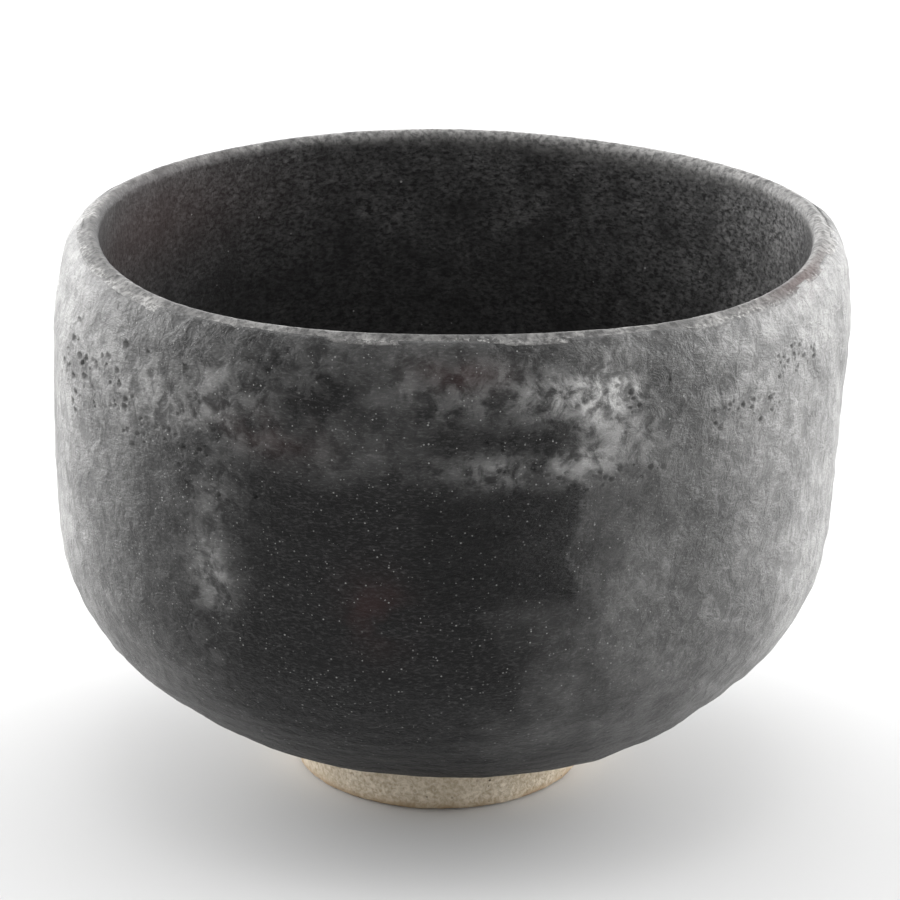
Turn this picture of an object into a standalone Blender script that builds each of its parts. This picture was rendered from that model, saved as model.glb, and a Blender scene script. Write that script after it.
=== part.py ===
"""Matcha bowl, hand-built, with a black glaze inside and out and a bare clay foot.

Four pieces: the clay body, the foot ring luted under it, and the two coats of glaze that were
laid on and fired, one inside and over the lip, one outside down to the foot.

Metres, +Z up. The table is z = 0, and the bowl's upright axis runs near x = y = 0.
"""

from math import atan2, ceil, cos, degrees, hypot, pi, radians, sin

import bmesh
import bpy
import numpy as np

# Overall sizes, over the glaze
BELLY_RADIUS = 0.0590  # widest half-width, a little below the lip
RIM_HEIGHT = 0.0833  # table to the crest of the lip, before the rim's rise and fall

# Walls and floor
WALL = 0.0062  # side wall, clay and both coats together
FLOOR = 0.0072  # the same for the floor
GLAZE = 0.0010  # one coat
POOL_RADIUS = 0.0170  # tea pool, the shallow hollow in the middle of the floor
POOL_DEPTH = 0.0012
POOL_SHAPE = ((1.00, 0.20), (0.55, 0.90), (0.00, 1.00))  # shares of its radius and its depth

# Lip
LIP_LEAN = 0.0006  # the lip's inner edge stands in from the wall's inner side by this
CLAY_EDGE = 0.0003  # rounding of the clay's inner edge, under the glaze
LIP_ROLL = 0.0025  # width of the rounding on the outer side
LIP_FALL = 0.0016  # its drop over that width
SEAM_DROP = 0.0010  # the inner coat laps over the crest and ends this far below it

# Foot
FOOT_HEIGHT = 0.0070  # table to the glaze line
FOOT_RADIUS = 0.0218  # outer edge of the face that stands on the table
FOOT_FLARE = 0.0009  # the ring widens by this towards the body
FOOT_WIDTH = 0.0062  # width of the standing face with its rounded edges
FOOT_TAPER = 0.0012  # the recess narrows by this towards the body
FOOT_ROUND = 0.0006  # rounding of the standing face's two edges
GLAZE_OVERHANG = 0.0015  # glaze line, outside the top of the ring

GAP = 0.0003  # between two pieces that touch on the real bowl

# Outer side from the glaze line to the shoulder, as shares of the way from the foot to the
# belly and from the glaze line to the rim
OUTER_SHAPE = (
    (0.000, 0.000),  # glaze line
    (0.225, 0.033),
    (0.400, 0.079),
    (0.580, 0.144),  # hip
    (0.785, 0.236),
    (0.924, 0.354),
    (0.972, 0.520),
    (0.998, 0.740),
    (1.000, 0.850),  # belly
    (0.973, 0.930),  # shoulder
)

# Hand shaping: each lobe is how many times it goes round, how much, and towards which degree.
# The heights where lobes begin and end are shares of the rim's height
HIGH_LOBES = ((2, 0.020, 65), (3, 0.018, 12), (4, 0.003, 25))  # share of the radius, upper half
LOW_LOBES = ((2, 0.017, -27), (3, 0.008, -32))  # share of the radius, lower half
RIM_LOBES = ((1, 0.0013, 151), (2, 0.00035, 58), (3, 0.0003, 35), (4, 0.00035, 4))  # height
FOOT_LOBES = ((2, 0.010, 95), (3, 0.008, 40))  # share of the ring's radius
LOW_FULL, HIGH_FULL = 0.18, 0.90  # the low lobes are fullest here, and only the high ones there
RIM_LOBES_FROM, RIM_LOBES_FULL = 0.54, 0.98
LEAN = (  # share of the rim's height, and the section's centre in x and y
    (0.00, -0.0006, 0.0002),
    (0.08, -0.0008, 0.0002),
    (0.24, -0.0015, -0.0004),
    (0.60, -0.0012, 0.0002),
    (1.00, 0.0001, 0.0007),
)
FOOT_CENTRE = (-0.0018, 0.0002)

SEGMENTS = 48  # facets round the bowl
TURN = 16.0  # the most degrees that an outline turns between two points
LIP_STEPS = 3  # facets of the lip's inner rounding
MERGE = 1e-6  # welds the points that a turned outline leaves on its axis


def smooth_outline(points, turn=TURN):
    """A curve through the points, with more steps where it turns more."""
    p = np.array(points, float)
    p = np.vstack([2 * p[0] - p[1], p, 2 * p[-1] - p[-2]])
    curve = []
    for before, start, end, after in zip(p, p[1:], p[2:], p[3:]):
        into, out = end - before, after - start
        bend = abs(degrees(atan2(into[0] * out[1] - into[1] * out[0], into @ out)))
        steps = max(1, ceil(bend / turn))
        for i in range(steps):
            t = i / steps
            curve.append(
                0.5
                * (
                    2 * start
                    + (end - before) * t
                    + (2 * before - 5 * start + 4 * end - after) * t**2
                    + (3 * start - before - 3 * end + after) * t**3
                )
            )
    return np.array(curve + [p[-2]])


def offset_outline(curve, distance):
    """The curve moved to its left by a distance, point for point and side by side."""
    along = np.diff(curve, axis=0)
    along /= np.linalg.norm(along, axis=1)[:, None]
    left = np.column_stack([-along[:, 1], along[:, 0]])
    before, after = np.vstack([left[:1], left]), np.vstack([left, left[-1:]])
    middle = before + after
    return curve + distance * middle / np.sum(middle * before, axis=1)[:, None]


def glaze_line_radius():
    return FOOT_RADIUS + FOOT_FLARE + GLAZE_OVERHANG


def outer_points():
    """Visible outer side, from the glaze line up to the shoulder."""
    start, width = glaze_line_radius(), BELLY_RADIUS - glaze_line_radius()
    rise = RIM_HEIGHT - FOOT_HEIGHT
    return [(start + u * width, FOOT_HEIGHT + v * rise) for u, v in OUTER_SHAPE]


def lip_rounding():
    """Radius of the lip's inner rounding, over the glaze."""
    return CLAY_EDGE + GAP + GLAZE


def crest_point():
    return (BELLY_RADIUS - WALL - LIP_LEAN + lip_rounding(), RIM_HEIGHT)


def outer_skin():
    """Outer side and the outer half of the lip."""
    crest = crest_point()
    lip = [(crest[0] + LIP_ROLL, crest[1] - LIP_FALL), crest]
    return smooth_outline(outer_points() + lip)


def inner_skin():
    """Inner half of the lip, the inner side one wall away from the outer one, and the floor."""
    radius, height = crest_point()
    rounding = lip_rounding()
    centre = height - rounding
    quarter = [radians(90 * i / LIP_STEPS) for i in range(LIP_STEPS)]
    lip = [(radius - rounding * sin(a), centre + rounding * cos(a)) for a in quarter]
    floor = FOOT_HEIGHT + FLOOR
    side = offset_outline(np.array(outer_points()), WALL)
    side = [tuple(p) for p in side if floor + POOL_DEPTH / 2 < p[1] < centre - WALL][::-1]
    pool = [(u * POOL_RADIUS, floor - v * POOL_DEPTH) for u, v in POOL_SHAPE]
    edge = (radius - rounding, centre)
    return np.vstack([lip, smooth_outline([edge] + side + pool)])


def on_axis(curve):
    """The curve with its last point put exactly on the axis."""
    curve = curve.copy()
    curve[-1, 0] = 0.0
    return curve


def lobes(terms, angle):
    return sum(size * cos(count * (angle - radians(towards))) for count, size, towards in terms)


def ease(value):
    value = min(max(value, 0.0), 1.0)
    return value * value * (3 - 2 * value)


def shape_bowl(point):
    """A turned point moved to where the hand-built bowl has it."""
    angle, radius, share = atan2(point.y, point.x), hypot(point.x, point.y), point.z / RIM_HEIGHT
    high = min(max((share - LOW_FULL) / (HIGH_FULL - LOW_FULL), 0.0), 1.0)
    low = min(share / LOW_FULL, 1.0) * (1 - high)
    radius *= 1 + high * lobes(HIGH_LOBES, angle) + low * lobes(LOW_LOBES, angle)
    heights, shifts_x, shifts_y = zip(*LEAN)
    point.x = radius * cos(angle) + np.interp(share, heights, shifts_x)
    point.y = radius * sin(angle) + np.interp(share, heights, shifts_y)
    rise = ease((share - RIM_LOBES_FROM) / (RIM_LOBES_FULL - RIM_LOBES_FROM))
    point.z += rise * lobes(RIM_LOBES, angle)


def shape_foot(point):
    """A turned point moved to where the hand-carved ring has it."""
    angle, radius = atan2(point.y, point.x), hypot(point.x, point.y)
    radius *= 1 + lobes(FOOT_LOBES, angle)
    point.x = radius * cos(angle) + FOOT_CENTRE[0]
    point.y = radius * sin(angle) + FOOT_CENTRE[1]


def turned(name, outline, shape, material, parent):
    """A solid turned from its outline, then shaped by hand. An outline is open on the axis."""
    bm = bmesh.new()
    verts = [bm.verts.new((r, 0.0, z)) for r, z in outline]
    ends = verts[1:] if outline[0][0] < MERGE else verts[1:] + verts[:1]
    edges = [bm.edges.new(pair) for pair in zip(verts, ends)]
    bmesh.ops.spin(
        bm,
        geom=verts + edges,
        cent=(0.0, 0.0, 0.0),
        axis=(0.0, 0.0, 1.0),
        angle=2 * pi,
        steps=SEGMENTS,
        use_merge=True,
    )
    bmesh.ops.remove_doubles(bm, verts=bm.verts, dist=MERGE)
    bmesh.ops.recalc_face_normals(bm, faces=bm.faces)
    for vert in bm.verts:
        shape(vert.co)
    mesh = bpy.data.meshes.new(name)
    bm.to_mesh(mesh)
    bm.free()
    mesh.shade_smooth()
    mesh.set_sharp_from_angle(angle=radians(40))
    mesh.materials.append(material)
    piece = bpy.data.objects.new(name, mesh)
    piece.parent = parent
    bpy.context.collection.objects.link(piece)
    return piece


def finish(name, colour, roughness):
    """A plain material."""
    material = bpy.data.materials.new(name)
    material.use_nodes = True
    shader = material.node_tree.nodes["Principled BSDF"]
    shader.inputs["Base Color"].default_value = (*colour, 1.0)
    shader.inputs["Roughness"].default_value = roughness
    shader.inputs["Metallic"].default_value = 0.0
    material.diffuse_color = (*colour, 1.0)
    return material


def clay_body(material, parent):
    """The wall and floor, under both coats of glaze, with a flat underside for the ring."""
    depth = GLAZE + GAP
    skin = np.vstack([outer_skin(), inner_skin()[1:]])
    covered = on_axis(offset_outline(skin, depth))
    covered[-1, 1] = skin[-1, 1] - depth
    underside = [(0.0, FOOT_HEIGHT), (glaze_line_radius() - 2 * depth, FOOT_HEIGHT)]
    return turned("clay_body", underside + [tuple(p) for p in covered], shape_bowl, material, parent)


def coat(name, skin, ends_on_axis, material, parent):
    """A coat of glaze, from its visible skin inwards."""
    back = offset_outline(skin, GLAZE)
    if ends_on_axis:
        back = on_axis(back)
        back[-1, 1] = skin[-1, 1] - GLAZE
        outline = list(back[::-1]) + list(skin)
    else:
        outline = list(skin) + list(back[::-1])
    return turned(name, [tuple(p) for p in outline], shape_bowl, material, parent)


def cut_outline(curve, height, keep_upper):
    """The curve's part on one side of the seam, cut at a height on the lip's outer side."""
    i = next(k for k in range(len(curve) - 1) if curve[k + 1, 1] > height)
    share = (height - curve[i, 1]) / (curve[i + 1, 1] - curve[i, 1])
    cut = curve[i] + share * (curve[i + 1] - curve[i])
    return np.vstack([cut, curve[i + 1 :]]) if keep_upper else np.vstack([curve[: i + 1], cut])


def outer_glaze(material, parent):
    skin = cut_outline(outer_skin(), RIM_HEIGHT - SEAM_DROP - GAP, keep_upper=False)
    return coat("outer_glaze", skin, False, material, parent)


def inner_glaze(material, parent):
    over_lip = cut_outline(outer_skin(), RIM_HEIGHT - SEAM_DROP, keep_upper=True)
    skin = on_axis(np.vstack([over_lip, inner_skin()[1:]]))
    return coat("inner_glaze", skin, True, material, parent)


def foot_ring(material, parent):
    """The ring that the bowl stands on, with its recess open below."""
    top = FOOT_HEIGHT - GAP
    inner = FOOT_RADIUS - FOOT_WIDTH
    bevel = FOOT_ROUND * (1 - sin(radians(45)))  # half-way round each rounded edge
    outline = [
        (FOOT_RADIUS - FOOT_ROUND, 0.0),
        (FOOT_RADIUS - bevel, bevel),
        (FOOT_RADIUS, FOOT_ROUND),
        (FOOT_RADIUS + FOOT_FLARE, top),
        (inner - FOOT_TAPER, top),
        (inner, FOOT_ROUND),
        (inner + bevel, bevel),
        (inner + FOOT_ROUND, 0.0),
    ]
    return turned("foot_ring", outline, shape_foot, material, parent)


def main():
    for thing in list(bpy.data.objects):
        bpy.data.objects.remove(thing)
    bowl = bpy.data.objects.new("bowl", None)
    bpy.context.collection.objects.link(bowl)
    clay = finish("clay", (0.36, 0.30, 0.22), 0.9)
    black = finish("black_glaze", (0.012, 0.011, 0.011), 0.38)
    matt_black = finish("matt_black_glaze", (0.018, 0.016, 0.016), 0.6)
    clay_body(clay, bowl)
    foot_ring(clay, bowl)
    outer_glaze(black, bowl)
    inner_glaze(matt_black, bowl)


main()
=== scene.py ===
from math import cos, pi, radians, sin

import bmesh
import bpy
import numpy as np
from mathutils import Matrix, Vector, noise


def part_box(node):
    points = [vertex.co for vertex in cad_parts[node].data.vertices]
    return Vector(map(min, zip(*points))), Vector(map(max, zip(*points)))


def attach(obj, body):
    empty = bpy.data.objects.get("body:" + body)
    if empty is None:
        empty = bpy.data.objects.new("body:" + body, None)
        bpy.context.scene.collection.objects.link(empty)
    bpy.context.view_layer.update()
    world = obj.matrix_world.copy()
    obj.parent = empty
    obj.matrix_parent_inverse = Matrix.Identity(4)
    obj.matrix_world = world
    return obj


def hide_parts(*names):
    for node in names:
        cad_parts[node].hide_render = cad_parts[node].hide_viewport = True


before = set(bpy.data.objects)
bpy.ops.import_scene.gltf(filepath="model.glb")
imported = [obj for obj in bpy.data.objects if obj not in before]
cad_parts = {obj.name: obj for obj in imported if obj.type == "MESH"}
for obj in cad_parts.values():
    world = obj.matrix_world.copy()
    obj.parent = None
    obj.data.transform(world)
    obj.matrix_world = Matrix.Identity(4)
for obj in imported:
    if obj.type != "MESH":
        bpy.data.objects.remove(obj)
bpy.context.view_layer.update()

mm = 0.001

print("sizes from the frame")

# the bowl's form: how the hand-built shape departs from a turned one, and its outline.
# a lobe is how many times round, how much, and towards which degree
form = {
    "highLobes": ((2, 0.020, 65), (3, 0.018, 12), (4, 0.003, 25)),  # share of the radius, upper half
    "lowLobes": ((2, 0.017, -27), (3, 0.008, -32)),  # lower half
    "rimLobes": ((1, 1.3, 151), (2, 0.35, 58), (3, 0.3, 35), (4, 0.35, 4)),  # mm of height
    "ringLobes": ((2, 0.010, 95), (3, 0.008, 40)),  # share of the foot ring's radius
    "lowFull": 0.18,  # shares of the rim's height
    "highFull": 0.90,
    "rimFrom": 0.54,
    "rimFull": 0.98,
    "leanHeights": (0.00, 0.08, 0.24, 0.60, 1.00),  # where the centre wanders to, in mm
    "leanX": (-0.6, -0.8, -1.5, -1.2, 0.1),
    "leanY": (0.2, 0.2, -0.4, 0.2, 0.7),
    "outline": (  # from glaze line to shoulder, shares of the way out and up
        (0.000, 0.000),
        (0.225, 0.033),
        (0.400, 0.079),
        (0.580, 0.144),
        (0.785, 0.236),
        (0.924, 0.354),
        (0.972, 0.520),
        (0.998, 0.740),
        (1.000, 0.850),
        (0.973, 0.930),
    ),
    "wall": 6.2,
    "floor": 7.2,
    "coat": 1.0,
    "gap": 0.3,
    "lipLean": 0.6,
    "lipRounding": 1.6,
    "lipRoll": 2.5,
    "lipFall": 1.6,
    "poolRadius": 17.0,
    "poolDepth": 1.2,
    "overhang": 1.5,  # glaze line outside the top of the foot ring
}


def lobes(terms, angle):
    return sum(size * np.cos(count * (angle - radians(towards))) for count, size, towards in terms)


def ease(value):
    value = np.clip(value, 0.0, 1.0)
    return value * value * (3 - 2 * value)


def highShare(share):
    return np.clip((share - form["lowFull"]) / (form["highFull"] - form["lowFull"]), 0, 1)


def roundSpan(swell):
    # how far a ring of radius 1 with these swellings reaches in x and y, and its middle
    across = np.array([swell * np.cos(allRound), swell * np.sin(allRound)])
    return np.ptp(across, axis=1), (across.max(axis=1) + across.min(axis=1)) / 2


# driving sizes in mm, worked out from the frame's boxes
allRound = np.linspace(-pi, pi, 49)
outerBox = np.array(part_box("outer_glaze")) / mm
ringBox = np.array(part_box("foot_ring")) / mm
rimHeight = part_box("inner_glaze")[1].z / mm - lobes(form["rimLobes"], allRound).max()
glazeLine, ringTop = outerBox[0][2], ringBox[1][2]
bellyUp = form["outline"][-2][1]
bellyShare = (glazeLine + bellyUp * (rimHeight - glazeLine)) / rimHeight
high = highShare(bellyShare)
span, _ = roundSpan(
    1 + high * lobes(form["highLobes"], allRound) + (1 - high) * lobes(form["lowLobes"], allRound)
)
bellyRadius = sum((outerBox[1] - outerBox[0])[:2]) / sum(span)
span, middle = roundSpan(1 + lobes(form["ringLobes"], allRound))
ringRadius = sum((ringBox[1] - ringBox[0])[:2]) / sum(span)
ringCentre = (ringBox[0] + ringBox[1])[:2] / 2 - middle * ringRadius
lineRadius = ringRadius + form["overhang"]
crestRadius = bellyRadius - form["wall"] - form["lipLean"] + form["lipRounding"]
print(f"belly {bellyRadius:.2f}, rim {rimHeight:.2f}, ring {ringRadius:.2f} {ringCentre}")


class Outline:
    # a section of the bowl, measured along its length in mm, with its outward side
    def __init__(self, points):
        points = np.array(points, float)
        steps = np.hypot(*np.diff(points, axis=0).T)
        self.along = np.concatenate([[0], np.cumsum(steps)])
        self.points = points
        way = np.gradient(points, self.along, axis=0)
        way /= np.hypot(*way.T)[:, None]
        self.side = np.column_stack([way[:, 1], -way[:, 0]])
        self.length = self.along[-1]

    def at(self, along, depth):
        # radius and height, this deep under the skin
        spot = [np.interp(along, self.along, self.points[:, i]) for i in (0, 1)]
        side = [np.interp(along, self.along, self.side[:, i]) for i in (0, 1)]
        size = np.hypot(*side)
        return spot[0] - depth * side[0] / size, spot[1] - depth * side[1] / size


def smoothPoints(points, steps=40):
    # a smooth curve through the points
    p = np.array(points, float)
    p = np.vstack([2 * p[0] - p[1], p, 2 * p[-1] - p[-2]])
    t = np.arange(steps)[:, None] / steps
    curve = []
    for before, start, end, after in zip(p, p[1:], p[2:], p[3:]):
        straight = 2 * start + (end - before) * t
        bend = (2 * before - 5 * start + 4 * end - after) * t**2
        turn = (3 * start - before - 3 * end + after) * t**3
        curve.append((straight + bend + turn) / 2)
    return np.vstack(curve + [p[-2:-1]])


def offsetPoints(curve, distance):
    # the curve moved to its left, point for point
    along = np.diff(curve, axis=0)
    along /= np.linalg.norm(along, axis=1)[:, None]
    left = np.column_stack([-along[:, 1], along[:, 0]])
    before, after = np.vstack([left[:1], left]), np.vstack([left, left[-1:]])
    middle = before + after
    return curve + distance * middle / np.sum(middle * before, axis=1)[:, None]


outerPoints = np.array([
    (lineRadius + out * (bellyRadius - lineRadius), glazeLine + up * (rimHeight - glazeLine))
    for out, up in form["outline"]
])
lipOut = (crestRadius + form["lipRoll"], rimHeight - form["lipFall"])
outerSkin = smoothPoints(np.vstack([outerPoints, lipOut, (crestRadius, rimHeight)]))

rounding, lipCentre = form["lipRounding"], rimHeight - form["lipRounding"]
lipTurn = np.radians(np.arange(0, 90, 6))
lipArc = np.column_stack([
    crestRadius - rounding * np.sin(lipTurn), lipCentre + rounding * np.cos(lipTurn)
])
floorTop = glazeLine + form["floor"]
innerPoints = offsetPoints(outerPoints, form["wall"])
onWall = (innerPoints[:, 1] > floorTop + form["poolDepth"] / 2) & (
    innerPoints[:, 1] < lipCentre - form["wall"]
)
poolPoints = [
    (form["poolRadius"] * out, floorTop - form["poolDepth"] * down)
    for out, down in ((1.00, 0.20), (0.55, 0.90), (0.00, 1.00))
]
innerSkin = np.vstack([
    lipArc,
    smoothPoints(
        np.vstack([(crestRadius - rounding, lipCentre), innerPoints[onWall][::-1], poolPoints])
    ),
])

outerOutline = Outline(outerSkin)
crestAlong = outerOutline.length
lapLength = 3.2  # mm of the outer side that the inner coat's own outline starts with
overLip = outerSkin[outerOutline.along > crestAlong - lapLength]
innerOutline = Outline(np.vstack([overLip, innerSkin[1:]]))
print(f"outer outline {outerOutline.length:.1f} mm, inner {innerOutline.length:.1f} mm")


def handShaped(radius, height, angle):
    # a turned point moved to where the hand-built bowl has it
    share = height / rimHeight
    high = highShare(share)
    low = np.minimum(share / form["lowFull"], 1) * (1 - high)
    radius = radius * (
        1 + high * lobes(form["highLobes"], angle) + low * lobes(form["lowLobes"], angle)
    )
    x = radius * np.cos(angle) + np.interp(share, form["leanHeights"], form["leanX"])
    y = radius * np.sin(angle) + np.interp(share, form["leanHeights"], form["leanY"])
    rise = ease((share - form["rimFrom"]) / (form["rimFull"] - form["rimFrom"]))
    return np.column_stack([x, y, height + rise * lobes(form["rimLobes"], angle)])


def waves(points, size, seed=0, stretch=(1, 1, 1)):
    # soft random waves of about this size in mm, from -1 to 1
    moved = points / (size * np.array(stretch)) + seed * 7.31
    return np.array([noise.noise(p) for p in moved.tolist()])


def cloudy(points, sizes, seed):
    # waves of several sizes together, each finer one lower
    return sum(waves(points, size, seed + i) / 1.6**i for i, size in enumerate(sizes))


def addWaves(relief, points, terms, seed, share=1.0):
    # adds to the relief a wave for each size and height, where the share says
    for i, (size, tall) in enumerate(terms):
        relief += tall * share * waves(points, size, seed + i)


def creases(points, size, seed, stretch):
    # thin lines between waves, from 0 to 1
    return np.clip(1 - 3.2 * np.abs(waves(points, size, seed, stretch)), 0, 1) ** 2


def patch(angle, along, centre, spread):
    # 1 in the middle of an oval place on the bowl, fading to 0; degrees round, mm along
    turn = (np.degrees(angle) - centre[0] + 180) % 360 - 180
    return np.exp(-((turn / spread[0]) ** 2) - ((along - centre[1]) / spread[1]) ** 2)


def rowsEvery(stops):
    # places along an outline: each stop is where to go and the step on the way there
    places = [stops[0][0]]
    for (start, _), (end, step) in zip(stops, stops[1:]):
        count = max(1, round((end - start) / step))
        places += [start + (end - start) * i / count for i in range(1, count + 1)]
    return places


tubeRadius = 100.0  # the coats are first made as straight tubes this wide, then bent
centreWeld = 0.004  # mm; points nearer than this become one where rows meet on the axis


def tubeSheet(rows, columns, closed):
    # a tube of faces; a row is its place along and its depth under the skin
    bm = bmesh.new()
    angles = [2 * pi * i / columns for i in range(columns)]
    rings = [
        [
            bm.verts.new(((tubeRadius - depth) * cos(a), (tubeRadius - depth) * sin(a), along))
            for a in angles
        ]
        for along, depth in rows
    ]
    pairs = list(zip(rings, rings[1:] + rings[:1])) if closed else list(zip(rings, rings[1:]))
    for low, high in pairs:
        for i in range(columns):
            j = (i + 1) % columns
            bm.faces.new((low[i], low[j], high[j], high[i]))
    return bm


def tubePlaces(bm):
    # angle, place along and depth of every point
    flat = np.array([v.co for v in bm.verts])
    return np.arctan2(flat[:, 1], flat[:, 0]), flat[:, 2], tubeRadius - np.hypot(flat[:, 0], flat[:, 1])


def gather(bm, name, places, masks, material, weld=0.0):
    # moves the points to their places in mm, and makes the piece
    for vert, spot in zip(bm.verts, (places * mm).tolist()):
        vert.co = spot
    for maskName, values in masks.items():
        layer = bm.verts.layers.float.new(maskName)
        for vert, value in zip(bm.verts, values.tolist()):
            vert[layer] = value
    if weld:  # closes the piece where its rows meet on the axis
        bmesh.ops.remove_doubles(bm, verts=bm.verts, dist=weld * mm)
        loose = [e for e in bm.edges if not e.link_faces]
        bmesh.ops.delete(bm, geom=loose, context="EDGES")
    bmesh.ops.recalc_face_normals(bm, faces=bm.faces)
    mesh = bpy.data.meshes.new(name)
    bm.to_mesh(mesh)
    bm.free()
    mesh.shade_smooth()
    mesh.materials.append(material)
    piece = bpy.data.objects.new(name, mesh)
    bpy.context.collection.objects.link(piece)
    print(f"{name}: {len(mesh.polygons)} faces")
    return piece


def addNode(tree, kind, **values):
    made = tree.nodes.new(kind)
    for key, value in values.items():
        if key in made.inputs:
            made.inputs[key].default_value = value
        else:
            setattr(made, key, value)
    return made


def join(tree, source, target):
    tree.links.new(source, target)


def maths(tree, operation, first, second, clamp=False):
    made = tree.nodes.new("ShaderNodeMath")
    made.operation = operation
    made.use_clamp = clamp
    for socket, value in zip(made.inputs, (first, second)):
        if isinstance(value, (int, float)):
            socket.default_value = value
        else:
            tree.links.new(value, socket)
    return made.outputs[0]


def remap(tree, value, low, high, toLow=0.0, toHigh=1.0):
    made = addNode(tree, "ShaderNodeMapRange", interpolation_type="SMOOTHSTEP")
    tree.links.new(value, made.inputs["Value"])
    for name, number in zip(("From Min", "From Max", "To Min", "To Max"), (low, high, toLow, toHigh)):
        made.inputs[name].default_value = number
    return made.outputs["Result"]


def blendColours(tree, share, first, second):
    made = tree.nodes.new("ShaderNodeMix")
    made.data_type = "RGBA"
    colours = [s for s in made.inputs if s.type == "RGBA"]
    factor = made.inputs["Factor"]
    for socket, value in ((factor, share), (colours[0], first), (colours[1], second)):
        if isinstance(value, tuple):
            socket.default_value = (*value, 1.0)
        elif isinstance(value, (int, float)):
            socket.default_value = value
        else:
            tree.links.new(value, socket)
    return next(s for s in made.outputs if s.type == "RGBA")


def newGroup(name, inputs, outputs):
    group = bpy.data.node_groups.new(name, "ShaderNodeTree")
    for label, kind, value in inputs:
        socket = group.interface.new_socket(name=label, in_out="INPUT", socket_type=kind)
        if value is not None:
            socket.default_value = value
    for label, kind in outputs:
        group.interface.new_socket(name=label, in_out="OUTPUT", socket_type=kind)
    return group, group.nodes.new("NodeGroupInput"), group.nodes.new("NodeGroupOutput")


def grainGroup():
    # skin of fine pits and humps, in two sizes, as a height
    group, given, result = newGroup(
        "firedGrain",
        (
            ("Place", "NodeSocketVector", None),
            ("Fine", "NodeSocketFloat", 2000.0),
            ("Coarse", "NodeSocketFloat", 500.0),
            ("CoarseShare", "NodeSocketFloat", 0.5),
        ),
        (("Height", "NodeSocketFloat"),),
    )
    fine = addNode(group, "ShaderNodeTexNoise", Detail=4.0, Roughness=0.6)
    coarse = addNode(group, "ShaderNodeTexNoise", Detail=3.0, Roughness=0.55, Distortion=0.3)
    for texture, scale in ((fine, "Fine"), (coarse, "Coarse")):
        join(group, given.outputs["Place"], texture.inputs["Vector"])
        join(group, given.outputs[scale], texture.inputs["Scale"])
    humps = maths(group, "MULTIPLY", coarse.outputs["Fac"], given.outputs["CoarseShare"])
    height = maths(group, "ADD", fine.outputs["Fac"], humps)
    join(group, height, result.inputs["Height"])
    return group


def speckGroup():
    # scattered small specks of uneven size
    group, given, result = newGroup(
        "scatteredSpecks",
        (
            ("Place", "NodeSocketVector", None),
            ("Scale", "NodeSocketFloat", 700.0),
            ("Size", "NodeSocketFloat", 0.2),
            ("Share", "NodeSocketFloat", 0.3),
        ),
        (("Mask", "NodeSocketFloat"),),
    )
    cells = addNode(group, "ShaderNodeTexVoronoi")
    join(group, given.outputs["Place"], cells.inputs["Vector"])
    join(group, given.outputs["Scale"], cells.inputs["Scale"])
    parts = group.nodes.new("ShaderNodeSeparateColor")
    join(group, cells.outputs["Color"], parts.inputs["Color"])
    size = maths(group, "MULTIPLY", parts.outputs["Green"], given.outputs["Size"])
    near = maths(group, "LESS_THAN", cells.outputs["Distance"], size)
    chosen = maths(group, "LESS_THAN", parts.outputs["Red"], given.outputs["Share"])
    shown = maths(group, "MULTIPLY", near, chosen)
    pale = remap(group, parts.outputs["Blue"], 0.0, 1.0, 0.25, 1.0)
    join(group, maths(group, "MULTIPLY", shown, pale), result.inputs["Mask"])
    return group


def mottleGroup():
    # cloudy unevenness, from 0 to 1
    group, given, result = newGroup(
        "cloudyMottle",
        (
            ("Place", "NodeSocketVector", None),
            ("Scale", "NodeSocketFloat", 150.0),
            ("Low", "NodeSocketFloat", 0.4),
            ("High", "NodeSocketFloat", 0.6),
        ),
        (("Mask", "NodeSocketFloat"),),
    )
    cloud = addNode(group, "ShaderNodeTexNoise", Detail=6.0, Roughness=0.62, Distortion=0.4)
    join(group, given.outputs["Place"], cloud.inputs["Vector"])
    join(group, given.outputs["Scale"], cloud.inputs["Scale"])
    ramp = group.nodes.new("ShaderNodeMapRange")
    join(group, cloud.outputs["Fac"], ramp.inputs["Value"])
    join(group, given.outputs["Low"], ramp.inputs["From Min"])
    join(group, given.outputs["High"], ramp.inputs["From Max"])
    join(group, ramp.outputs["Result"], result.inputs["Mask"])
    return group


grain, specks, mottle = grainGroup(), speckGroup(), mottleGroup()


def useGroup(tree, group, place, values):
    # the group with these inputs set
    made = tree.nodes.new("ShaderNodeGroup")
    made.node_tree = group
    tree.links.new(place, made.inputs["Place"])
    for name, value in values.items():
        made.inputs[name].default_value = value
    return made.outputs[0]


def startMaterial(name):
    material = bpy.data.materials.new(name)
    material.use_nodes = True
    tree = material.node_tree
    place = tree.nodes.new("ShaderNodeTexCoord").outputs["Object"]
    return material, tree, tree.nodes["Principled BSDF"], place


def flattened(tree, place, streaks):
    # the place for a texture that is shorter up and down
    made = addNode(tree, "ShaderNodeMapping", Scale=streaks)
    join(tree, place, made.inputs["Vector"])
    return made.outputs["Vector"]


def bumpFrom(tree, shader, height, looks):
    bump = addNode(tree, "ShaderNodeBump", Strength=looks["bump"], Distance=looks["bumpDepth"])
    join(tree, height, bump.inputs["Height"])
    join(tree, bump.outputs["Normal"], shader.inputs["Normal"])


def maskFrom(tree, name):
    made = addNode(tree, "ShaderNodeAttribute", attribute_name=name)
    return made.outputs["Fac"]


print("outer glaze")

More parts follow.
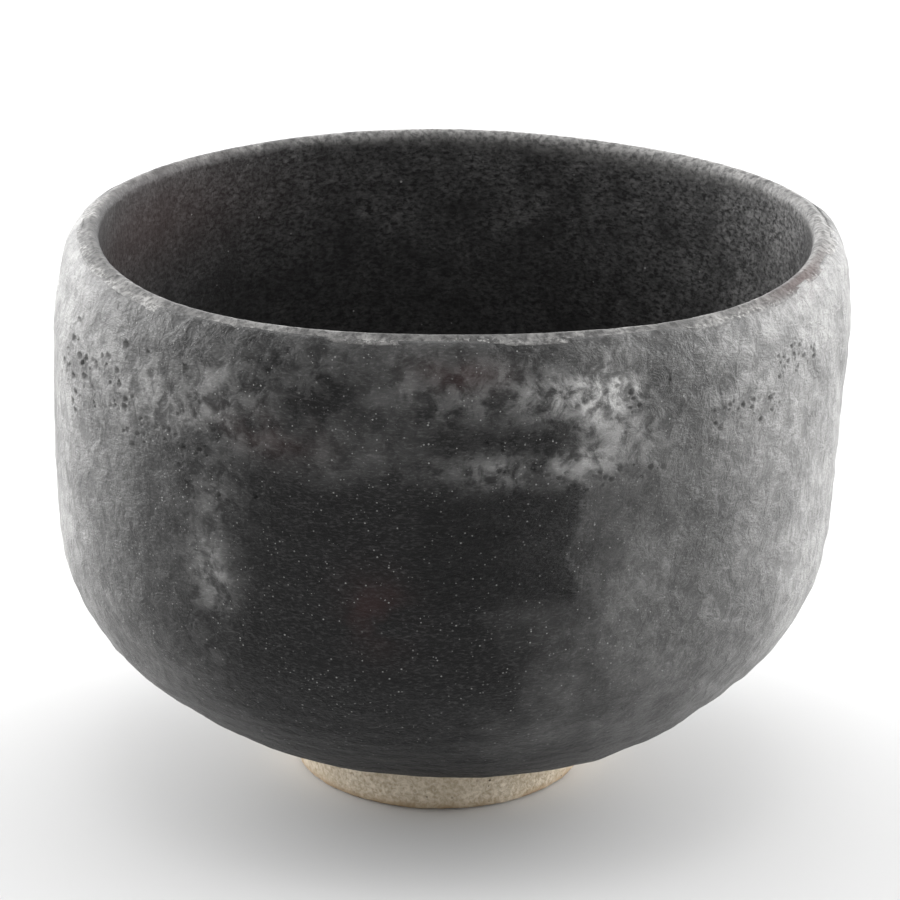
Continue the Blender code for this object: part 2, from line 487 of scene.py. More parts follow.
outerLooks = {
    "black": (0.0030, 0.0029, 0.0031),
    "charcoal": (0.060, 0.059, 0.059),
    "smokeAndSheen": (0.350, 0.347, 0.342),
    "hazeAndHighlight": (0.50, 0.497, 0.49),
    "rust": (0.045, 0.015, 0.014),
    "speck": (0.25, 0.25, 0.245),
    "specular": 0.20,
    "roughness": 0.44,
    "dryRoughness": 0.62,
    "wetRoughness": 0.28,
    "bump": 0.75,
    "bumpDepth": 0.00030,
    "calmBump": 0.35,  # how shallow the grain is between the clouds
    "wetBump": 2.2,  # and how much deeper on the black patch
    "wetBlack": 0.25,  # how much of the grey is gone there
    "streaks": (1.0, 1.0, 2.6),  # the fine mottle is this much shorter up and down
    "grain": {"Fine": 1400.0, "Coarse": 420.0, "CoarseShare": 1.3},
    "clouds": {"Scale": 380.0, "Low": 0.34, "High": 0.66},
    "greyMottle": {"Scale": 1300.0, "Low": 0.50, "High": 0.80},
    "smallDots": {"Scale": 1900.0, "Size": 0.27, "Share": 0.42},
    "largeDots": {"Scale": 600.0, "Size": 0.11, "Share": 0.07},
    "ashShares": (0.80, 1.25),  # how strong the haze with its painted highlight and the smoke with its painted reflection are without and with ash
    "hazeAndHighlightShares": (0.12, 1.25),  # how strong the haze and painted highlight are between and in the clouds
    "smokeAndSheenShares": (0.74, 1.18),  # and the smoke with its painted reflection
}


def outerGlazeMaterial(looks):
    material, tree, shader, place = startMaterial("blackGlaze")
    flat = flattened(tree, place, looks["streaks"])
    skin = useGroup(tree, grain, flat, looks["grain"])
    clouds = useGroup(tree, mottle, place, looks["clouds"])
    greyMottle = useGroup(tree, mottle, flat, looks["greyMottle"])
    smallDots = useGroup(tree, specks, place, looks["smallDots"])
    largeDots = useGroup(tree, specks, place, looks["largeDots"])
    wet = maskFrom(tree, "wet")
    dusty = remap(tree, greyMottle, 0.0, 1.0, *looks["ashShares"])
    broken = maths(tree, "MULTIPLY", dusty, remap(tree, clouds, 0.05, 0.95, *looks["hazeAndHighlightShares"]))
    hazeAndHighlight = maths(tree, "MULTIPLY", maskFrom(tree, "hazeAndHighlight"), broken, clamp=True)
    uneven = maths(tree, "MULTIPLY", dusty, remap(tree, clouds, 0.0, 1.0, *looks["smokeAndSheenShares"]))
    smokeAndSheen = maths(tree, "MULTIPLY", maskFrom(tree, "smokeAndSheen"), uneven, clamp=True)
    colour = blendColours(tree, greyMottle, looks["black"], looks["charcoal"])
    blacker = maths(tree, "MULTIPLY", wet, looks["wetBlack"])
    colour = blendColours(tree, blacker, colour, looks["black"])
    colour = blendColours(tree, maskFrom(tree, "rust"), colour, looks["rust"])
    # painted reflection: the smoky grey on both flanks stands for the side lights reflected in the glaze
    colour = blendColours(tree, smokeAndSheen, colour, looks["smokeAndSheen"])
    # painted highlight: the haze also carries a small lamp's reflection on the left
    colour = blendColours(tree, hazeAndHighlight, colour, looks["hazeAndHighlight"])
    dots = maths(tree, "MAXIMUM", smallDots, largeDots)
    colour = blendColours(tree, dots, colour, looks["speck"])
    join(tree, colour, shader.inputs["Base Color"])
    shader.inputs["Specular IOR Level"].default_value = looks["specular"]
    drier = maths(tree, "MULTIPLY", hazeAndHighlight, looks["dryRoughness"] - looks["roughness"])
    wetter = maths(tree, "MULTIPLY", wet, looks["roughness"] - looks["wetRoughness"])
    rough = maths(tree, "ADD", looks["roughness"], drier)
    join(tree, maths(tree, "SUBTRACT", rough, wetter), shader.inputs["Roughness"])
    brushed = maths(tree, "MULTIPLY", wet, looks["wetBump"])
    depth = maths(tree, "ADD", remap(tree, clouds, 0, 1, looks["calmBump"]), brushed)
    bumpFrom(tree, shader, maths(tree, "MULTIPLY", skin, depth), looks)
    return material


# surface of the outer coat, in mm; places are degrees round (front is -90), and mm along the outline
# from the glaze line
outerSurface = {
    "columns": 512,
    "topEnd": 1.2,  # it ends this far from the crest, under the inner coat's lap
    "setIn": 0.50,  # how far it is set in where the bowl is widest, to keep inside its box
    "lowSetIn": 0.18,  # and elsewhere
    "widest": (24, 20, 92, 7),  # from here, over this much, to there, over this much
    "mostOut": (0.05, 0.44),  # it stands out by no more than this, less that where it is widest
    "lowBulge": (0.40, (-30, 12), (55, 13)),  # how much, centre, spread
    "handWaves": ((30.0, 0.20), (14.0, 0.12), (7.0, 0.06)),  # size and height
    "leather": ((4.2, 0.08), (2.1, 0.06)),
    "brush": (0.14, 2.2, (6, 1, 1)),  # height, size, stretch
    "flankBrush": (0.26, 3.2, (4, 1, 1)),
    "creases": (0.22, 3.4, (7, 1, 1)),
    "flankCreases": (0.22, 3.4, (6, 1, 1)),
    "trimLines": (0.03, 3.4, 42, 20),  # height, spacing, how far up, fading over
    "lineRound": (0.9, 1.4),  # the coat thins by this much over this height at the glaze line
    "lineWaves": (0.35, 9, 6),  # height, size, how far up
    "pinholes": (  # centre, spread, how many, smallest and largest radius
        ((-144, 80), (13, 4.5), 34, 0.25, 0.58),
        ((-130, 77), (11, 4.0), 30, 0.22, 0.52),
        ((-154, 77), (6, 4.0), 12, 0.30, 0.60),
        ((-69, 83), (6, 4.5), 26, 0.25, 0.50),
        ((-68, 75), (7, 2.5), 22, 0.22, 0.45),
        ((-82, 79), (6, 4.0), 14, 0.20, 0.40),
        ((-44, 80), (7, 2.2), 22, 0.25, 0.46),
        ((-31, 84), (6, 2.4), 26, 0.25, 0.46),
        ((-120, 70), (6, 3.0), 10, 0.20, 0.42),
        ((-40, 70), (24, 12.0), 16, 0.15, 0.32),
        ((25, 79), (16, 4.5), 34, 0.25, 0.52),
        ((105, 82), (14, 4.0), 26, 0.25, 0.55),
        ((160, 76), (10, 5.0), 18, 0.25, 0.50),
    ),
    "pits": (  # larger hollows: degrees, mm along, half length, half height
        (-154, 83.0, 1.25, 0.60),
        (-151, 81.5, 1.10, 0.55),
        (-146, 82.3, 1.20, 0.50),
        (-149, 79.0, 1.30, 0.50),
        (-153, 86.0, 0.90, 0.50),
        (-138, 87.0, 0.80, 0.50),
        (-126, 86.6, 0.70, 0.50),
        (-125, 83.0, 0.70, 0.55),
    ),
    "hazeAndHighlight": (  # how much, centre, spread
        (0.95, (-70, 85.5), (7.0, 3.4)),
        (0.36, (-65, 80.0), (5.0, 3.4)),
        (0.42, (-72, 76.0), (7.0, 2.2)),
        (0.32, (-82, 75.5), (9.0, 2.2)),
        (0.13, (-82, 87.0), (9, 4.0)),
        (0.13, (-97, 86.0), (10, 4.0)),
        (0.08, (-110, 83.0), (12, 6.0)),
        (0.06, (-100, 77.0), (9, 4.0)),
        (0.19, (-125, 84.0), (9, 5.0)),
        (0.30, (-146, 84.0), (18, 8.0)),
        # painted highlight: these three narrow upright patches stand for a small lamp's reflection
        (0.34, (-122, 57.5), (3.0, 4.5)),
        (0.18, (-123, 48.0), (3.0, 6.0)),
        (0.26, (-123, 73.0), (5.0, 11.0)),
        (0.24, (-40, 86.0), (24, 6.0)),
        (0.22, (60, 82.0), (34, 7.0)),
        (0.20, (140, 70.0), (22, 12.0)),
    ),
    "rust": (
        (0.45, (-99, 55.0), (4, 5.0)),
        (0.4, (-89, 89.0), (6, 2.0)),
        (0.3, (-112, 80.0), (9, 3.0)),
        (0.6, (-22, 92.0), (10, 1.5)),
        (0.3, (70, 50.0), (18, 12.0)),
    ),
    "smokeAndSheen": (  # degrees round and how much: smoky grey on both flanks, painted reflection of the side lights, strongest at the left and right edges seen from the front; smoky clouds round the back
        (-180, 0.85), (-172, 1.00), (-164, 0.90), (-152, 0.50), (-141, 0.23), (-133, 0.13),
        (-124, 0.06), (-115, 0.0), (-82, 0.0), (-72, 0.14), (-64, 0.31), (-50, 0.40), (-40, 0.53),
        (-30, 0.74), (-18, 1.00), (-8, 1.00), (8, 0.60), (30, 0.30), (85, 0.20), (140, 0.26),
        (165, 0.50), (180, 0.85),
    ),
    "smokeAndSheenEdge": (-68, 26, 0.55, 60, 14),  # where the painted reflection ends near the front: degrees, spread, how soft, below here, over this much
    "smokeAndSheenGap": (0.75, (-57, 84), (11, 6.5)),  # how much is missing, centre, spread
    "lowSmokeAndSheen": (0.15, 0.18, 12, 24),  # what is left of the smoke and painted reflection at the bottom, more at right, from here, over
    "highSmokeAndSheen": (0.10, 70, 8),  # drifting smoke and painted reflection above: how much, from here, over this much
    "lipHaze": (0.14, 86, 6),  # how much, from here, over this much
    "wet": ((-95, 4), (-71, 1.5), (54, 4), (73.5, 1.2)),  # black patch: left, right, low, high; softness
    "brim": (0.07, 1.3, 0.35),  # round each hollow: height, place, width
    "hollow": (0.55, 0.6, 0.10),  # share of its half height, up to this, and this more
    "seed": 11,
}


def scatterPinholes(values):
    # every hollow in the outer coat: angle, place along, half length, half height
    rng = np.random.default_rng(values["seed"])
    holes = [(radians(a), s, long, tall) for a, s, long, tall in values["pits"]]
    for (angle, along), (wide, tall), count, small, large in values["pinholes"]:
        for _ in range(count):
            a, s = rng.normal(angle, wide / 1.6), rng.normal(along, tall / 1.6)
            size = small + (large - small) * rng.random() ** 2
            holes.append((radians(a), float(np.clip(s, 8, 89.5)), size * rng.uniform(1.0, 1.5), size))
    return holes


def holeDistance(hole, angle, along, radius):
    turn = (angle - hole[0] + pi) % (2 * pi) - pi
    return turn * radius, along - hole[1]


def refineRound(bm, holes, outline, reach):
    # smaller faces where the hollows are
    angle, along, depth = tubePlaces(bm)
    radius = outline.at(along, 0)[0]
    near = np.zeros(len(angle), bool)
    for hole in holes:
        across, up = holeDistance(hole, angle, along, radius)
        near |= np.hypot(across / (hole[2] + reach), up / (hole[3] + reach)) < 1
    near &= depth < 0.01
    bm.verts.ensure_lookup_table()
    edges = {e for i in np.flatnonzero(near) for e in bm.verts[i].link_edges}
    bmesh.ops.subdivide_edges(bm, edges=list(edges), cuts=3, use_grid_fill=True)


def hollows(values, holes, angle, along, radius, ragged):
    # depth of the hollows, with a low raised brim round each
    total = np.zeros(len(angle))
    tall, place, width = values["brim"]
    share, most, least = values["hollow"]
    for hole in holes:
        across, up = holeDistance(hole, angle, along, radius)
        away = np.hypot(across / hole[2], up / hole[3]) * ragged
        deep = share * min(hole[3], most) + least
        total -= deep * np.clip(1 - away**2, 0, 1) ** 0.7
        total += tall * np.exp(-(((away - place) / width) ** 2))
    return total


def flankShare(degree):
    # 1 on the right flank, seen from the front
    return ease((degree + 85) / 20) * ease((10 - degree) / 20)


def outerRelief(values, holes, base, angle, along, radius):
    # how far the skin stands out from the outline, in mm
    start, rise, end, fall = values["widest"]
    girth = ease((along - start) / rise) * ease((end - along) / fall)
    amount, *where = values["lowBulge"]
    bulge = amount * patch(angle, along, *where)
    relief = bulge - values["setIn"] * girth - values["lowSetIn"] * (1 - girth)
    addWaves(relief, base, values["handWaves"], 0)
    addWaves(relief, base, values["leather"], 5)
    # the brush went level round the bowl, and slanting on the right flank
    flank = flankShare(np.degrees(angle))
    around = np.column_stack([angle * radius, along, np.zeros(len(angle))])
    rising = np.column_stack([angle * radius - 0.6 * along, along + 0.45 * angle * radius, angle * 0])
    level = (around, 1 - flank)
    slanting = (rising, flank)
    for (points, share), name, seed in ((level, "brush", 3), (slanting, "flankBrush", 4)):
        tall, size, stretch = values[name]
        relief += tall * share * waves(points, size, seed, stretch)
    broken = np.clip(0.2 + 1.4 * waves(base, 16, 12), 0, 1)
    for (points, share), name, seed in ((level, "creases", 13), (slanting, "flankCreases", 14)):
        deep, size, stretch = values[name]
        relief -= deep * share * broken * creases(points, size, seed, stretch)
    tall, spacing, reach, fading = values["trimLines"]
    wander = 1.5 * waves(base, 25, 8)
    relief += tall * ease((reach - along) / fading) * np.sin((along + wander) * 2 * pi / spacing)
    ragged = 1 + 0.18 * waves(base, 0.9, 15)
    relief += hollows(values, holes, angle, along, radius, ragged)
    most, narrower = values["mostOut"]
    relief = np.minimum(relief, bulge * (1 - girth) + most - narrower * girth)
    deep, tall = values["lineRound"]
    return relief - deep * (1 - np.sqrt(np.clip(1 - np.clip(1 - along / tall, 0, 1) ** 2, 0, 1)))


def hazeHighlightAndRust(values, cloud, angle, along):
    amount, start, rise = values["lipHaze"]
    flank = flankShare(np.degrees(angle))
    hazeAndHighlight = sum(share * patch(angle, along, *where) for share, *where in values["hazeAndHighlight"])
    hazeAndHighlight += amount * ease((along - start) / rise) * (0.4 + 0.6 * flank)
    rust = sum(share * patch(angle, along, *where) for share, *where in values["rust"])
    return np.clip(hazeAndHighlight * (1 + 1.1 * cloud), 0, 1), rust * np.clip(0.6 + 1.5 * cloud, 0, 1.3)


def blackPatch(values, cloud, degree, along):
    # 1 where the glaze stayed wet and black, with torn edges
    left, right, low, high = values["wet"]
    torn = 2.2 * cloud
    wet = ease((degree - left[0] + torn) / left[1]) * ease((right[0] - degree + 1.6 * torn) / right[1])
    wet *= ease((along - low[0] + torn) / low[1]) * ease((high[0] - along + torn) / high[1])
    return wet


def smokeAndSheenMask(values, cloud, base, angle, along):
    # painted reflection of the side lights as smoky grey on both flanks, and smoke in clouds round the
    # back, black between
    degree = np.degrees(angle)
    flank = flankShare(degree)
    torn = 7 * cloudy(base, (16, 7, 3, 1.4), 26)
    stops = np.array(values["smokeAndSheen"])
    # the edge of the smoke and painted reflection near the front is crisp at mid height and fades out
    # below
    edge, reach, softness, start, rise = values["smokeAndSheenEdge"]
    soft = softness * ease((start - along) / rise) * np.exp(-(((degree - edge) / reach) ** 2))
    seen = degree + torn - soft * (degree - edge)
    smokeAndSheen = np.interp((seen + 180) % 360 - 180, stops[:, 0], stops[:, 1])
    behind = ease((degree + 5) / 25) * ease((170 - degree) / 25)
    smokeAndSheen *= 1 + behind * (np.clip(0.5 + 1.1 * cloud, 0.15, 1.3) - 1)
    missing, *where = values["smokeAndSheenGap"]
    smokeAndSheen *= 1 - missing * patch(angle, along, *where)
    smokeAndSheen *= np.clip(1 + 0.4 * cloud, 0.6, 1.3)
    left, more, start, rise = values["lowSmokeAndSheen"]
    smokeAndSheen *= left + more * flank + (1 - left - more * flank) * ease((along - start) / rise)
    amount, start, rise = values["highSmokeAndSheen"]
    drift = np.clip(0.1 + 2.0 * cloudy(base, (19, 9, 4, 2), 45), 0, 1)
    smokeAndSheen += amount * ease((along - start) / rise) * drift * ease((degree + 150) / 20)
    return smokeAndSheen


def outerGlaze(values, material):
    top = crestAlong - values["topEnd"]
    front = [(s, 0.0) for s in rowsEvery(((0, 0), (1.5, 0.3), (88, 0.72), (top, 0.5)))]
    back = [(s, form["coat"]) for s in rowsEvery(((0, 0), (top, 6.5)))][::-1]
    bm = tubeSheet(front + back, values["columns"], closed=True)
    holes = scatterPinholes(values)
    refineRound(bm, holes, outerOutline, 0.35)
    angle, along, depth = tubePlaces(bm)
    radius, height = outerOutline.at(along, 0)
    base = handShaped(radius, height, angle)
    relief = outerRelief(values, holes, base, angle, along, radius)
    relief *= np.clip(1 - depth / form["coat"], 0, 1)
    tall, size, reach = values["lineWaves"]
    line = tall * waves(base, size, 9) * ease((reach - along) / reach)
    radius, height = outerOutline.at(along + line, depth - relief)
    places = handShaped(radius, height, angle)

    cloud = cloudy(base, (13, 6, 3, 1.5), 20)
    hazeAndHighlight, rust = hazeHighlightAndRust(values, cloud, angle, along)
    wet = blackPatch(values, cloud, np.degrees(angle), along)
    smokeAndSheen = smokeAndSheenMask(values, cloud, base, angle, along) * (1 - 0.8 * wet)
    masks = {"hazeAndHighlight": hazeAndHighlight, "rust": rust, "wet": wet, "smokeAndSheen": np.clip(smokeAndSheen, 0, 1)}
    return gather(bm, "outerGlaze", places, masks, material)


print("inner glaze")

innerLooks = {
    "black": (0.014, 0.0135, 0.0138),
    "grey": (0.190, 0.187, 0.185),
    # the pale lip is partly its thin glaze and partly painted light from above on the up-facing lip
    "lip": (0.36, 0.354, 0.344),
    "fleck": (0.46, 0.455, 0.44),
    "rust": (0.060, 0.020, 0.016),
    "specular": 0.3,
    "roughness": 0.62,
    "bump": 0.6,
    "bumpDepth": 0.00022,
    "streaks": (1.0, 1.0, 1.7),  # the fine mottle inside is this much shorter up and down
    "grain": {"Fine": 1300.0, "Coarse": 600.0, "CoarseShare": 1.0},
    "clouds": {"Scale": 1100.0, "Low": 0.38, "High": 0.78},
    "broad": {"Scale": 150.0, "Low": 0.22, "High": 0.66},
    "dots": {"Scale": 620.0, "Size": 0.12, "Share": 0.2},
    "blotches": {"Scale": 1100.0, "Low": 0.36, "High": 0.62},
    "flecks": {"Scale": 1500.0, "Low": 0.50, "High": 0.60},
    "lipLeast": 0.25,  # how pale the lip is between its blotches
}


def innerGlazeMaterial(looks):
    material, tree, shader, place = startMaterial("dryBlackGlaze")
    flat = flattened(tree, place, looks["streaks"])
    skin = useGroup(tree, grain, place, looks["grain"])
    clouds = useGroup(tree, mottle, flat, looks["clouds"])
    broad = useGroup(tree, mottle, place, looks["broad"])
    dots = useGroup(tree, specks, place, looks["dots"])
    blotches = useGroup(tree, mottle, place, looks["blotches"])
    flecks = useGroup(tree, mottle, place, looks["flecks"])
    # pale grey inside, partly painted light on the right wall and near the far rim
    greyMottle = maths(tree, "MULTIPLY", clouds, broad)
    greyMottle = maths(tree, "MULTIPLY", greyMottle, maskFrom(tree, "greyMottle"), clamp=True)
    colour = blendColours(tree, greyMottle, looks["black"], looks["grey"])
    uneven = remap(tree, blotches, 0, 1, looks["lipLeast"])
    # painted light: the pale lip band stands partly for light from above on the lip and the far rim
    lip = maths(tree, "MULTIPLY", maskFrom(tree, "lip"), uneven)
    colour = blendColours(tree, lip, colour, looks["lip"])
    # painted highlights: pale flecks along the lap's raised edge
    beadHighlights = maths(tree, "MULTIPLY", flecks, maskFrom(tree, "fringe"))
    colour = blendColours(tree, beadHighlights, colour, looks["fleck"])
    colour = blendColours(tree, maskFrom(tree, "rust"), colour, looks["rust"])
    colour = blendColours(tree, dots, colour, looks["lip"])
    join(tree, colour, shader.inputs["Base Color"])
    shader.inputs["Roughness"].default_value = looks["roughness"]
    shader.inputs["Specular IOR Level"].default_value = looks["specular"]
    bumpFrom(tree, shader, skin, looks)
    return material


# surface of the inner coat, in mm; places are degrees round, and mm along its own outline
innerSurface = {
    "columns": 448,
    "setIn": 0.12,
    "lap": 2.1,  # how far it comes down over the lip, mm along the outline from the crest
    "lapWaves": ((13.0, 0.55), (5.0, 0.30), (1.6, 0.14)),
    "handWaves": ((26.0, 0.22), (12.0, 0.12)),
    "crawl": ((2.4, 0.05), (1.3, 0.04)),
    "lapEdge": (0.75, 0.6),  # the lap's edge drops this far over this length
    "lipBand": (1.2, 1.0),  # the pale lip, partly painted light from above: mm beyond the crest, softness
    "lipFar": (4.2, 60, 68, 30),  # it is wider at the far side, painted light from above on the far rim: by mm, at degrees, spread round, along
    "rust": ((0.6, (-22, 2.5), (12, 1.2)), (0.25, (150, 12), (25, 8))),
    "leastAsh": 0.35,
    "greyMottle": (  # pale grey inside, dust and painted light: the first stands for light from the left on the right wall, the second for light from above near the far rim; how much, centre, spread
        (1.6, (10, 22), (42, 28)),
        (0.9, (88, 8), (60, 14)),
        (0.3, (-90, 60), (180, 40)),
    ),
}


def innerGlaze(values, material):
    end = innerOutline.length
    stops = ((0, 0), (lapLength + 3, 0.38), (lapLength + 75, 0.75), (end, 1.2))
    front = [(s, 0.0) for s in rowsEvery(stops)]
    back = [(s, form["coat"]) for s in rowsEvery(((0, 0), (lapLength + 4, 1.2), (end, 6.5)))][::-1]
    bm = tubeSheet(front + back, values["columns"], closed=True)
    angle, along, depth = tubePlaces(bm)
    radius, height = innerOutline.at(along, 0)
    base = handShaped(radius, height, angle)
    relief = -values["setIn"] * np.ones(len(angle))
    inside = ease((along - lapLength - 2) / 6)
    addWaves(relief, base, values["handWaves"], 30, 0.25 + 0.75 * inside)
    addWaves(relief, base, values["crawl"], 33)
    relief = np.minimum(relief, -0.03)
    rim = np.column_stack([base[:, 0], base[:, 1], 0 * angle])
    edge = lapLength - values["lap"] + sum(
        tall * waves(rim, size, 40 + i) for i, (size, tall) in enumerate(values["lapWaves"])
    )
    drop, over = values["lapEdge"]
    relief -= drop * ease((edge - along) / over)
    relief *= np.clip(1 - depth / form["coat"], 0, 1)
    radius, height = innerOutline.at(along, depth - relief)
    places = handShaped(radius, height, angle)
    cloud = 0.45 + 0.5 * waves(base, 6, 50) + 0.5 * waves(base, 1.8, 51)
    # painted highlights along the lap's edge, where the flecks go
    fringe = np.exp(-(((along - edge - 0.5) / 0.7) ** 2)) * np.clip(0.5 + waves(base, 3.5, 52), 0, 1)
    wider, towards, *reach = values["lipFar"]
    far = patch(angle, along, (towards, lapLength), reach)
    beyond, softness = values["lipBand"]
    lip = ease((lapLength + beyond + wider * far - along) / (softness + wider * far))
    lip *= np.clip(cloud + 0.6 * far, 0.25, 1)
    greyMottle = values["leastAsh"] + sum(
        amount * patch(angle, along, *where) for amount, *where in values["greyMottle"]
    )
    rust = sum(amount * patch(angle, along, *where) for amount, *where in values["rust"])
    masks = {"lip": lip, "fringe": fringe, "rust": np.clip(rust, 0, 1), "greyMottle": greyMottle}
    return gather(bm, "innerGlaze", places, masks, material, weld=centreWeld)


print("foot ring and clay body")

clayLooks = {
    "buff": (0.38, 0.31, 0.215),
    "pale": (0.72, 0.64, 0.52),
    "ochre": (0.30, 0.20, 0.10),
    "dark": (0.10, 0.075, 0.05),
    "roughness": 0.92,
    "bump": 0.8,
    "bumpDepth": 0.0002,
    "grain": {"Fine": 2600.0, "Coarse": 900.0, "CoarseShare": 0.8},
    "clouds": {"Scale": 260.0, "Low": 0.30, "High": 0.70},
    "sand": {"Scale": 1500.0, "Low": 0.36, "High": 0.62},
    "dots": {"Scale": 1100.0, "Size": 0.26, "Share": 0.22},
    "leastPale": 0.55,  # how pale the sand is between the clouds
}


def clayMaterial(looks):
    material, tree, shader, place = startMaterial("bareClay")
    skin = useGroup(tree, grain, place, looks["grain"])
    clouds = useGroup(tree, mottle, place, looks["clouds"])
    sand = useGroup(tree, mottle, place, looks["sand"])
    dots = useGroup(tree, specks, place, looks["dots"])
    paler = maths(tree, "MULTIPLY", sand, remap(tree, clouds, 0, 1, looks["leastPale"]))
    colour = blendColours(tree, paler, looks["buff"], looks["pale"])
    colour = blendColours(tree, maskFrom(tree, "ochre"), colour, looks["ochre"])
    colour = blendColours(tree, dots, colour, looks["dark"])
    join(tree, colour, shader.inputs["Base Color"])
    shader.inputs["Roughness"].default_value = looks["roughness"]
    bumpFrom(tree, shader, skin, looks)
    return material


ringSurface = {
    "columns": 340,
    "step": 0.42,
    "width": 6.2,
    "flare": 0.9,
    "taper": 1.2,
    "round": 0.6,
    "above": 0.15,  # how far its open top reaches up into the clay body
    "setIn": 0.12,
    "sand": ((5.0, 0.14), (1.6, 0.07), (0.8, 0.05)),
    "ochre": (0.9, 2.0),  # how much, and how far up
}


def footRing(values, material):
    outer, edge = ringRadius - values["flare"], values["round"]
    inner = outer - values["width"]
    corner = np.radians(np.arange(0, 91, 15))
    top = ringTop + values["above"]
    outline = Outline(np.vstack([
        [(outer + values["flare"], top)],
        np.column_stack([outer - edge + edge * np.cos(corner), edge - edge * np.sin(corner)]),
        np.column_stack([inner + edge - edge * np.sin(corner), edge - edge * np.cos(corner)]),
        [(inner - values["taper"], top)],
    ]))
    rows = [(s, 0.0) for s in rowsEvery(((0, 0), (outline.length, values["step"])))]
    bm = tubeSheet(rows, values["columns"], closed=True)
    angle, along, _ = tubePlaces(bm)
    radius, height = outline.at(along, 0)
    base = np.column_stack([radius * np.cos(angle), radius * np.sin(angle), height])
    relief = -values["setIn"] * np.ones(len(angle))
    addWaves(relief, base, values["sand"], 60)
    # the side of the outline's normal here points into the clay
    radius, height = outline.at(along, np.minimum(relief, -0.01))
    radius = radius * (1 + lobes(form["ringLobes"], angle))
    x, y = radius * np.cos(angle) + ringCentre[0], radius * np.sin(angle) + ringCentre[1]
    places = np.column_stack([x, y, np.clip(height, 0, None)])
    amount, reach = values["ochre"]
    ochre = amount * ease((reach - height) / reach) * np.clip(0.7 + waves(base, 4, 65), 0, 1)
    return gather(bm, "footRing", places, {"ochre": ochre}, material)


bodySurface = {
    "columns": 200,
    "spiral": (0.22, 2.6),  # height and spacing of the turned line under the bowl
    "knob": (0.9, 3.5),  # height and size of the knob in its middle
    "setIn": 0.35,
    "underRadius": 17,  # the trimmed part inside the foot ring
    "underEnd": (16.5, 2),  # where it ends, fading over this much
    "ochre": (0.25, 16),  # how much, and how far out
}


def clayBody(values, material):
    under = form["coat"] + form["gap"]
    skin = np.vstack([outerSkin, innerSkin[1:]])
    covered = offsetPoints(skin, under)
    covered[-1] = (0.0, skin[-1, 1] - under)
    covered = covered[np.hypot(*np.diff(covered, axis=0, prepend=-1).T) > 0.01]
    flat = lineRadius - 2 * under
    underside = Outline([(0.0, glazeLine), (flat, glazeLine)])
    shell = Outline(covered)
    low = [underside.at(np.array([s]), 0) for s in rowsEvery(((0, 0), (flat, 0.7)))]
    high = [shell.at(np.array([s]), 0) for s in rowsEvery(((0, 0), (shell.length, 3.0)))]
    rows = [(float(r[0]), float(z[0])) for r, z in low + high]
    bm = tubeSheet([(float(i), 0.0) for i in range(len(rows))], values["columns"], closed=False)
    angle, along, _ = tubePlaces(bm)
    table = np.array(rows)
    radius = np.interp(along, np.arange(len(rows)), table[:, 0])
    height = np.interp(along, np.arange(len(rows)), table[:, 1])
    base = np.column_stack([radius * np.cos(angle), radius * np.sin(angle), height])
    beneath = (along < len(low)) & (radius < values["underRadius"])
    tall, spacing = values["spiral"]
    cut = tall * np.sin(2 * pi * (radius / spacing) - angle)
    cut = cut + 0.15 * waves(base, 5, 70) + 0.08 * waves(base, 1.5, 71)
    tall, size = values["knob"]
    cut -= tall * np.exp(-((radius / size) ** 2)) - values["setIn"]
    end, fading = values["underEnd"]
    height = height + np.where(beneath, cut * ease((end - radius) / fading), 0)
    places = handShaped(radius, height, angle)
    amount, reach = values["ochre"]
    masks = {"ochre": amount * ease(1 - radius / reach)}
    return gather(bm, "clayBody", places, masks, material, weld=centreWeld)


def setPiece(piece, node):
    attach(piece, "root")
    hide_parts(node)


clay = clayMaterial(clayLooks)
setPiece(outerGlaze(outerSurface, outerGlazeMaterial(outerLooks)), "outer_glaze")
setPiece(innerGlaze(innerSurface, innerGlazeMaterial(innerLooks)), "inner_glaze")
setPiece(footRing(ringSurface, clay), "foot_ring")
setPiece(clayBody(bodySurface, clay), "clay_body")

print("floor, lights and camera")

studio = {
    "floorRadius": 4.0,  # metres, like the places below
    "floorSides": 128,
    "floorRoughness": 0.9,
    "floorSpecular": 0.2,
    "floorColour": (0.68, 0.68, 0.68),
    "frontShadeColour": (0.36, 0.36, 0.36),
    "frontFrom": -0.10,  # painted shade: the paper darkens towards the camera between these, standing for the light falling off there
    "frontTo": -0.40,
    "room": 0.02,
    "glows": (  # broad soft lights: degrees round from the front, degrees up, strength, tightness
        (-120, 8, 12.8, 8),
        (114, 8, 12.8, 8),
        (180, 8, 4.1, 8),
        (0, 8, 1.9, 8),
        (0, 88, 3.4, 14),
    ),
    "cameraSide": -0.00022,
    "cameraBack": 0.50185,
    "cameraUp": 0.2217,
    "cameraDown": 19.03,
    "lens": 142.95,
    "sensor": 36.0,
}


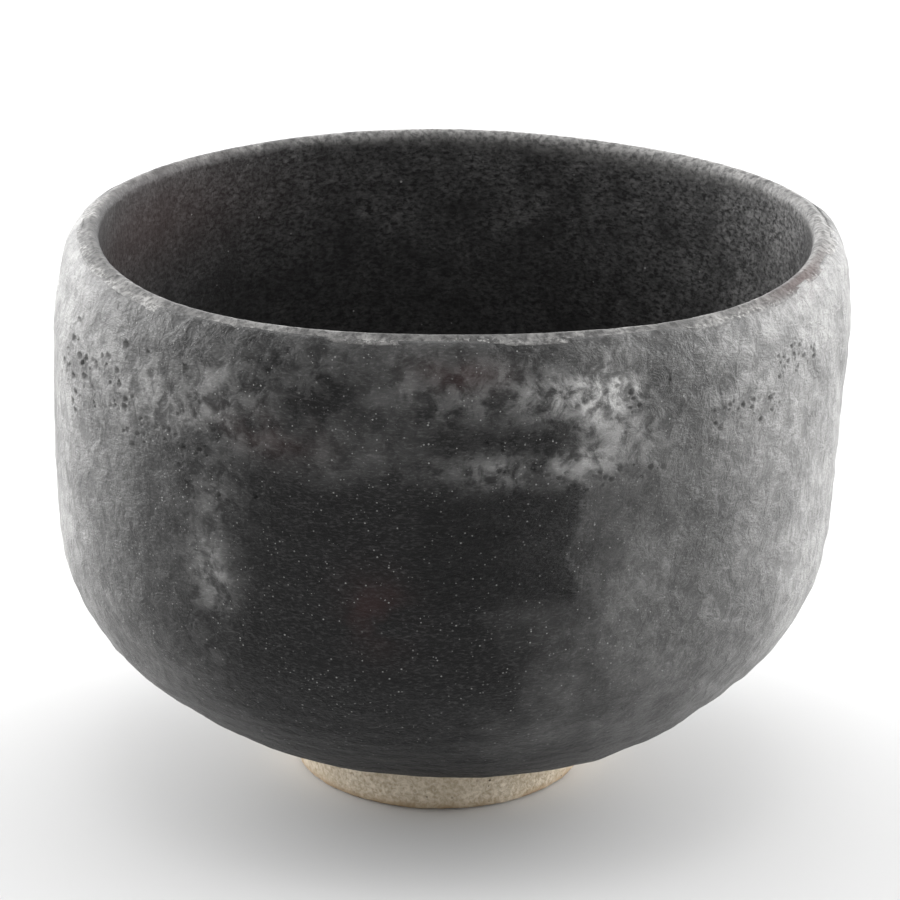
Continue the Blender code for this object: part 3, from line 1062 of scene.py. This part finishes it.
def floorDisc(values):
    bm = bmesh.new()
    sides, radius = values["floorSides"], values["floorRadius"]
    bmesh.ops.create_circle(bm, cap_ends=True, radius=radius, segments=sides)
    mesh = bpy.data.meshes.new("studioFloor")
    bm.to_mesh(mesh)
    bm.free()
    disc = bpy.data.objects.new("studioFloor", mesh)
    bpy.context.collection.objects.link(disc)
    material, tree, shader, place = startMaterial("whitePaper")
    parts = tree.nodes.new("ShaderNodeSeparateXYZ")
    join(tree, place, parts.inputs["Vector"])
    # painted shade: darker paper towards the camera
    front = remap(tree, parts.outputs["Y"], values["frontFrom"], values["frontTo"])
    colour = blendColours(tree, front, values["floorColour"], values["frontShadeColour"])
    join(tree, colour, shader.inputs["Base Color"])
    shader.inputs["Roughness"].default_value = values["floorRoughness"]
    shader.inputs["Specular IOR Level"].default_value = values["floorSpecular"]
    mesh.materials.append(material)


def studioGlow(tree, around, up, strength, tightness):
    # light that comes softly from one side, brightest in its middle
    a, e = radians(around), radians(up)
    facing = addNode(tree, "ShaderNodeVectorMath", operation="DOT_PRODUCT")
    join(tree, tree.nodes["way"].outputs["Generated"], facing.inputs[0])
    facing.inputs[1].default_value = (sin(a) * cos(e), -cos(a) * cos(e), sin(e))
    ahead = maths(tree, "MAXIMUM", facing.outputs["Value"], 0.0)
    return maths(tree, "MULTIPLY", maths(tree, "POWER", ahead, tightness), strength)


def studioWorld(values):
    world = bpy.data.worlds.new("studioWorld")
    world.use_nodes = True
    tree = world.node_tree
    tree.nodes.new("ShaderNodeTexCoord").name = "way"
    light = values["room"]
    for glow in values["glows"]:
        light = maths(tree, "ADD", light, studioGlow(tree, *glow))
    sky = tree.nodes["Background"]
    sky.inputs["Color"].default_value = (1.0, 1.0, 1.0, 1.0)
    join(tree, light, sky.inputs["Strength"])
    return world


def studioSet(values):
    floorDisc(values)
    scene = bpy.context.scene
    scene.world = studioWorld(values)
    scene.view_settings.view_transform = "Standard"
    lens = bpy.data.cameras.new("studioCamera")
    lens.lens, lens.sensor_width = values["lens"], values["sensor"]
    camera = bpy.data.objects.new("studioCamera", lens)
    bpy.context.collection.objects.link(camera)
    camera.location = (values["cameraSide"], -values["cameraBack"], values["cameraUp"])
    camera.rotation_euler = (radians(90 - values["cameraDown"]), 0, 0)
    scene.camera = camera


studioSet(studio)
